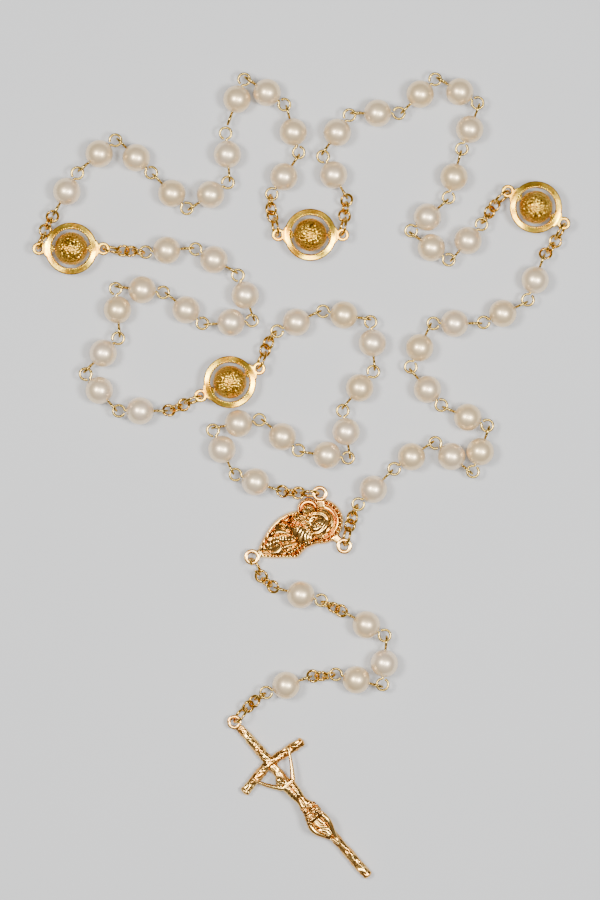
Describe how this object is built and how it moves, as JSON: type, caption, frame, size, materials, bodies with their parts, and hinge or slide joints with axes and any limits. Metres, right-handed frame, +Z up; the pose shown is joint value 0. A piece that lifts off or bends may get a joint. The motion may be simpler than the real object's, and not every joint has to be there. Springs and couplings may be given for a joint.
{
  "type": "rosary",
  "caption": "Rosary of pearl beads on linked eye pins, with ring-shaped medallion spacers, a three-way relief centrepiece and a pendant crucifix.",
  "frame": {"origin": "on the table, under the middle of the centrepiece between its ears", "axes": "+Z up from the table that the rosary lies on; the pendant hangs towards -Y and the loop of beads lies towards +Y"},
  "size_m": [0.1169, 0.1759, 0.0073],
  "materials": {
    "pearl": "pearlescent ivory coat over a moulded bead",
    "wire_gold": "pale gold plating, drawn wire",
    "frame_gold": "deep polished gold plating",
    "ball_gold": "gold plating, sparkling diamond-cut texture",
    "cast_gold": "rose gold plating on a casting"
  },
  "bodies": {
    "centrepiece": {"centrepiece": "cast_gold"},
    "centre_chain_left": {"centre_chain_left": "wire_gold"},
    "centre_chain_right": {"centre_chain_right": "wire_gold"},
    "decade_1_1": {"decade_1_pearls_1": "pearl", "decade_1_pins_1": "wire_gold"},
    "decade_1_2": {"decade_1_pearls_2": "pearl", "decade_1_pins_2": "wire_gold"},
    "decade_1_3": {"decade_1_pearls_3": "pearl", "decade_1_pins_3": "wire_gold"},
    "decade_1_4": {"decade_1_pearls_4": "pearl", "decade_1_pins_4": "wire_gold"},
    "decade_2_1": {"decade_2_pearls_1": "pearl", "decade_2_pins_1": "wire_gold"},
    "decade_2_2": {"decade_2_pearls_2": "pearl", "decade_2_pins_2": "wire_gold"},
    "decade_2_3": {"decade_2_pearls_3": "pearl", "decade_2_pins_3": "wire_gold"},
    "decade_2_4": {"decade_2_pearls_4": "pearl", "decade_2_pins_4": "wire_gold"},
    "decade_3_1": {"decade_3_pearls_1": "pearl", "decade_3_pins_1": "wire_gold"},
    "decade_3_2": {"decade_3_pearls_2": "pearl", "decade_3_pins_2": "wire_gold"},
    "decade_3_3": {"decade_3_pearls_3": "pearl", "decade_3_pins_3": "wire_gold"},
    "decade_3_4": {"decade_3_pearls_4": "pearl", "decade_3_pins_4": "wire_gold"},
    "decade_4_1": {"decade_4_pearls_1": "pearl", "decade_4_pins_1": "wire_gold"},
    "decade_4_2": {"decade_4_pearls_2": "pearl", "decade_4_pins_2": "wire_gold"},
    "decade_4_3": {"decade_4_pearls_3": "pearl", "decade_4_pins_3": "wire_gold"},
    "decade_4_4": {"decade_4_pearls_4": "pearl", "decade_4_pins_4": "wire_gold"},
    "decade_5_1": {"decade_5_pearls_1": "pearl", "decade_5_pins_1": "wire_gold"},
    "decade_5_2": {"decade_5_pearls_2": "pearl", "decade_5_pins_2": "wire_gold"},
    "decade_5_3": {"decade_5_pearls_3": "pearl", "decade_5_pins_3": "wire_gold"},
    "decade_5_4": {"decade_5_pearls_4": "pearl", "decade_5_pins_4": "wire_gold"},
    "medallion_1": {"medallion_1_frame": "frame_gold"},
    "ball_1": {"medallion_1_ball": "ball_gold"},
    "medallion_2": {"medallion_2_frame": "frame_gold"},
    "ball_2": {"medallion_2_ball": "ball_gold"},
    "medallion_3": {"medallion_3_frame": "frame_gold"},
    "ball_3": {"medallion_3_ball": "ball_gold"},
    "medallion_4": {"medallion_4_frame": "frame_gold"},
    "ball_4": {"medallion_4_ball": "ball_gold"},
    "pendant_upper": {"pendant_pearl_upper": "pearl", "pendant_pin_upper": "wire_gold"},
    "pendant_three": {"pendant_pearls_three": "pearl", "pendant_pins_three": "wire_gold"},
    "pendant_lower": {"pendant_pearl_lower": "pearl", "pendant_pin_lower": "wire_gold"},
    "crucifix_chain": {"crucifix_chain": "wire_gold"},
    "crucifix": {"crucifix_cross": "cast_gold", "crucifix_corpus": "cast_gold"}
  },
  "joints": [
    {"name": "centre_left_swing", "type": "hinge", "parent": "centrepiece", "child": "centre_chain_left", "pos_m": [0.00474, 0.00977, 0.0018], "axis": [0, 1, 0], "range_deg": [-20, 30]},
    {"name": "decade_1_start", "type": "hinge", "parent": "centre_chain_left", "child": "decade_1_1", "pos_m": [-0.00322, 0.01046, 0.00283], "axis": [0.342, 0.9397, 0], "range_deg": [-20, 20]},
    {"name": "decade_1_link_1", "type": "hinge", "parent": "decade_1_1", "child": "decade_1_2", "pos_m": [-0.01311, 0.01483, 0.003], "axis": [0.9063, 0.4226, 0], "range_deg": [-40, 40]},
    {"name": "decade_1_link_2", "type": "hinge", "parent": "decade_1_2", "child": "decade_1_3", "pos_m": [0.00258, 0.01876, 0.003], "axis": [-0.1276, -0.9918, 0], "range_deg": [-40, 40]},
    {"name": "decade_1_link_3", "type": "hinge", "parent": "decade_1_3", "child": "decade_1_4", "pos_m": [0.01793, 0.03752, 0.003], "axis": [0.9962, 0.0872, 0], "range_deg": [-40, 40]},
    {"name": "medallion_1_in", "type": "hinge", "parent": "decade_1_4", "child": "medallion_1", "pos_m": [-0.00688, 0.03797, 0.00365], "axis": [-0.9659, 0.2588, 0], "range_deg": [-10, 25]},
    {"name": "ball_1_spin", "type": "hinge", "parent": "medallion_1", "child": "ball_1", "pos_m": [-0.0135, 0.034, 0.00365], "axis": [-0.9063, -0.4226, 0], "continuous": true},
    {"name": "medallion_1_out", "type": "hinge", "parent": "medallion_1", "child": "decade_2_1", "pos_m": [-0.02075, 0.03052, 0.00365], "axis": [-0.5, 0.866, 0], "range_deg": [-10, 25]},
    {"name": "decade_2_link_1", "type": "hinge", "parent": "decade_2_1", "child": "decade_2_2", "pos_m": [-0.03752, 0.04475, 0.003], "axis": [0.9962, 0.0872, 0], "range_deg": [-40, 40]},
    {"name": "decade_2_link_2", "type": "hinge", "parent": "decade_2_2", "child": "decade_2_3", "pos_m": [-0.01826, 0.04653, 0.003], "axis": [0.0872, -0.9962, 0], "range_deg": [-40, 40]},
    {"name": "decade_2_link_3", "type": "hinge", "parent": "decade_2_3", "child": "decade_2_4", "pos_m": [-0.01263, 0.05813, 0.003], "axis": [0.5, 0.866, 0], "range_deg": [-40, 40]},
    {"name": "medallion_2_in", "type": "hinge", "parent": "decade_2_4", "child": "medallion_2", "pos_m": [-0.03995, 0.06291, 0.00365], "axis": [0.0872, 0.9962, 0], "range_deg": [-10, 25]},
    {"name": "ball_2_spin", "type": "hinge", "parent": "medallion_2", "child": "ball_2", "pos_m": [-0.048, 0.063, 0.00365], "axis": [-1, 0, 0], "continuous": true},
    {"name": "medallion_2_out", "type": "hinge", "parent": "medallion_2", "child": "decade_3_1", "pos_m": [-0.05473, 0.06401, 0.00365], "axis": [0.9659, -0.2588, 0], "range_deg": [-10, 25]},
    {"name": "decade_3_link_1", "type": "hinge", "parent": "decade_3_1", "child": "decade_3_2", "pos_m": [-0.02974, 0.07866, 0.003], "axis": [-0.7071, -0.7071, 0], "range_deg": [-40, 40]},
    {"name": "centre_right_swing", "type": "hinge", "parent": "centrepiece", "child": "centre_chain_right", "pos_m": [0.0117, -0.0004, 0.0018], "axis": [0.9659, -0.2588, 0], "range_deg": [-20, 30]},
    {"name": "decade_5_start", "type": "hinge", "parent": "centre_chain_right", "child": "decade_5_4", "pos_m": [0.0138, 0.0064, 0.003], "axis": [0.9397, -0.342, 0], "range_deg": [-35, 35]},
    {"name": "decade_5_link_3", "type": "hinge", "parent": "decade_5_4", "child": "decade_5_3", "pos_m": [0.02127, 0.01432, 0.003], "axis": [0.7071, -0.7071, 0], "range_deg": [-35, 35]},
    {"name": "decade_5_link_2", "type": "hinge", "parent": "decade_5_3", "child": "decade_5_2", "pos_m": [0.03352, 0.0283, 0.003], "axis": [0.3842, 0.9232, 0], "range_deg": [-35, 35]},
    {"name": "decade_5_link_1", "type": "hinge", "parent": "decade_5_2", "child": "decade_5_1", "pos_m": [0.04042, 0.04679, 0.003], "axis": [0, -1, 0], "range_deg": [-35, 35]},
    {"name": "medallion_4_in", "type": "hinge", "parent": "decade_5_1", "child": "medallion_4", "pos_m": [0.0587, 0.06751, 0.00365], "axis": [0.9397, -0.3421, 0], "range_deg": [-10, 25]},
    {"name": "ball_4_spin", "type": "hinge", "parent": "medallion_4", "child": "ball_4", "pos_m": [0.053, 0.072, 0.00365], "axis": [0.866, -0.5, 0], "continuous": true},
    {"name": "medallion_4_out", "type": "hinge", "parent": "medallion_4", "child": "decade_4_4", "pos_m": [0.04619, 0.07476, 0.00365], "axis": [-0.707, 0.7072, 0], "range_deg": [-10, 25]},
    {"name": "decade_4_link_3", "type": "hinge", "parent": "decade_4_4", "child": "decade_4_3", "pos_m": [0.03331, 0.07314, 0.003], "axis": [0.6428, -0.766, 0], "range_deg": [-35, 35]},
    {"name": "decade_4_link_2", "type": "hinge", "parent": "decade_4_3", "child": "decade_4_2", "pos_m": [0.03656, 0.08352, 0.003], "axis": [0.9659, -0.2588, 0], "range_deg": [-35, 35]},
    {"name": "decade_4_link_1", "type": "hinge", "parent": "decade_4_2", "child": "decade_4_1", "pos_m": [0.02433, 0.09307, 0.003], "axis": [-0.7071, 0.7071, 0], "range_deg": [-35, 35]},
    {"name": "medallion_3_in", "type": "hinge", "parent": "decade_4_1", "child": "medallion_3", "pos_m": [0.01109, 0.06705, 0.00365], "axis": [-0.9962, 0.0872, 0], "range_deg": [-10, 25]},
    {"name": "ball_3_spin", "type": "hinge", "parent": "medallion_3", "child": "ball_3", "pos_m": [0.004, 0.066, 0.00365], "axis": [1, 0, 0], "continuous": true},
    {"name": "medallion_3_out", "type": "hinge", "parent": "medallion_3", "child": "decade_3_4", "pos_m": [-0.00336, 0.06699, 0.00365], "axis": [0.9397, 0.342, 0], "range_deg": [-10, 25]},
    {"name": "decade_3_link_3", "type": "hinge", "parent": "decade_3_4", "child": "decade_3_3", "pos_m": [-0.00103, 0.09325, 0.003], "axis": [0.9659, 0.2588, 0], "range_deg": [-35, 35]},
    {"name": "pendant_swing", "type": "hinge", "parent": "centrepiece", "child": "pendant_upper", "pos_m": [-0.00826, -0.00528, 0.0018], "axis": [-0.9397, -0.342, 0], "range_deg": [-20, 30]},
    {"name": "pendant_link_1", "type": "hinge", "parent": "pendant_upper", "child": "pendant_three", "pos_m": [0.00738, -0.01412, 0.003], "axis": [-0.5736, -0.8191, 0], "range_deg": [-40, 40]},
    {"name": "pendant_link_2", "type": "hinge", "parent": "pendant_three", "child": "pendant_lower", "pos_m": [0.00831, -0.02976, 0.003], "axis": [-0.1735, 0.9848, 0], "range_deg": [-40, 40]},
    {"name": "pendant_link_3", "type": "hinge", "parent": "pendant_lower", "child": "crucifix_chain", "pos_m": [-0.00664, -0.03422, 0.003], "axis": [-0.5736, 0.8191, 0], "range_deg": [-40, 40]},
    {"name": "crucifix_swing", "type": "hinge", "parent": "crucifix_chain", "child": "crucifix", "pos_m": [-0.01178, -0.0391, 0.0017], "axis": [-0.766, 0.6428, 0], "range_deg": [-5, 30]}
  ]
}
